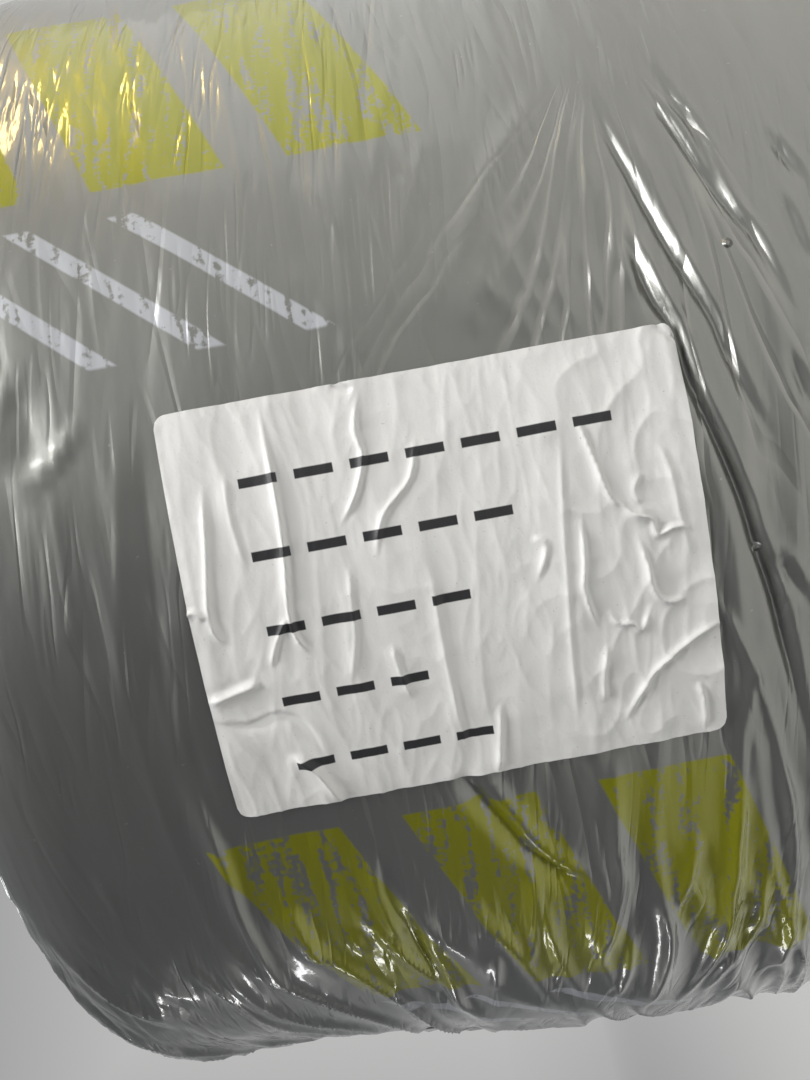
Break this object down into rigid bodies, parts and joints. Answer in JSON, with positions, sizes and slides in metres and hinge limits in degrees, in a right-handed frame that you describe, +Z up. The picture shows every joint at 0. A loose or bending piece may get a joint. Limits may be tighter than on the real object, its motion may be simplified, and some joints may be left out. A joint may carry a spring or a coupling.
{
  "type": "insulation roll",
  "caption": "Roll of rock wool blanket standing on its end, in a silver-grey film sleeve gathered round an open middle at each end, with a plain paper label on its side.",
  "frame": {"origin": "on the floor under the bore, which is the bottom centre of the roll's box", "axes": "+Z up along the roll's axis, towards the end that carries the label; the label faces -Y"},
  "size_m": [0.4801, 0.4809, 0.6022],
  "materials": {
    "rock_wool": "matted mineral fibre",
    "sleeve_film": "wrinkled glossy polyethylene",
    "label_paper": "semi-matt coated paper"
  },
  "bodies": {
    "root": {"wool_blanket": "rock_wool", "film_sleeve": "sleeve_film", "label": "label_paper"}
  },
  "joints": []
}
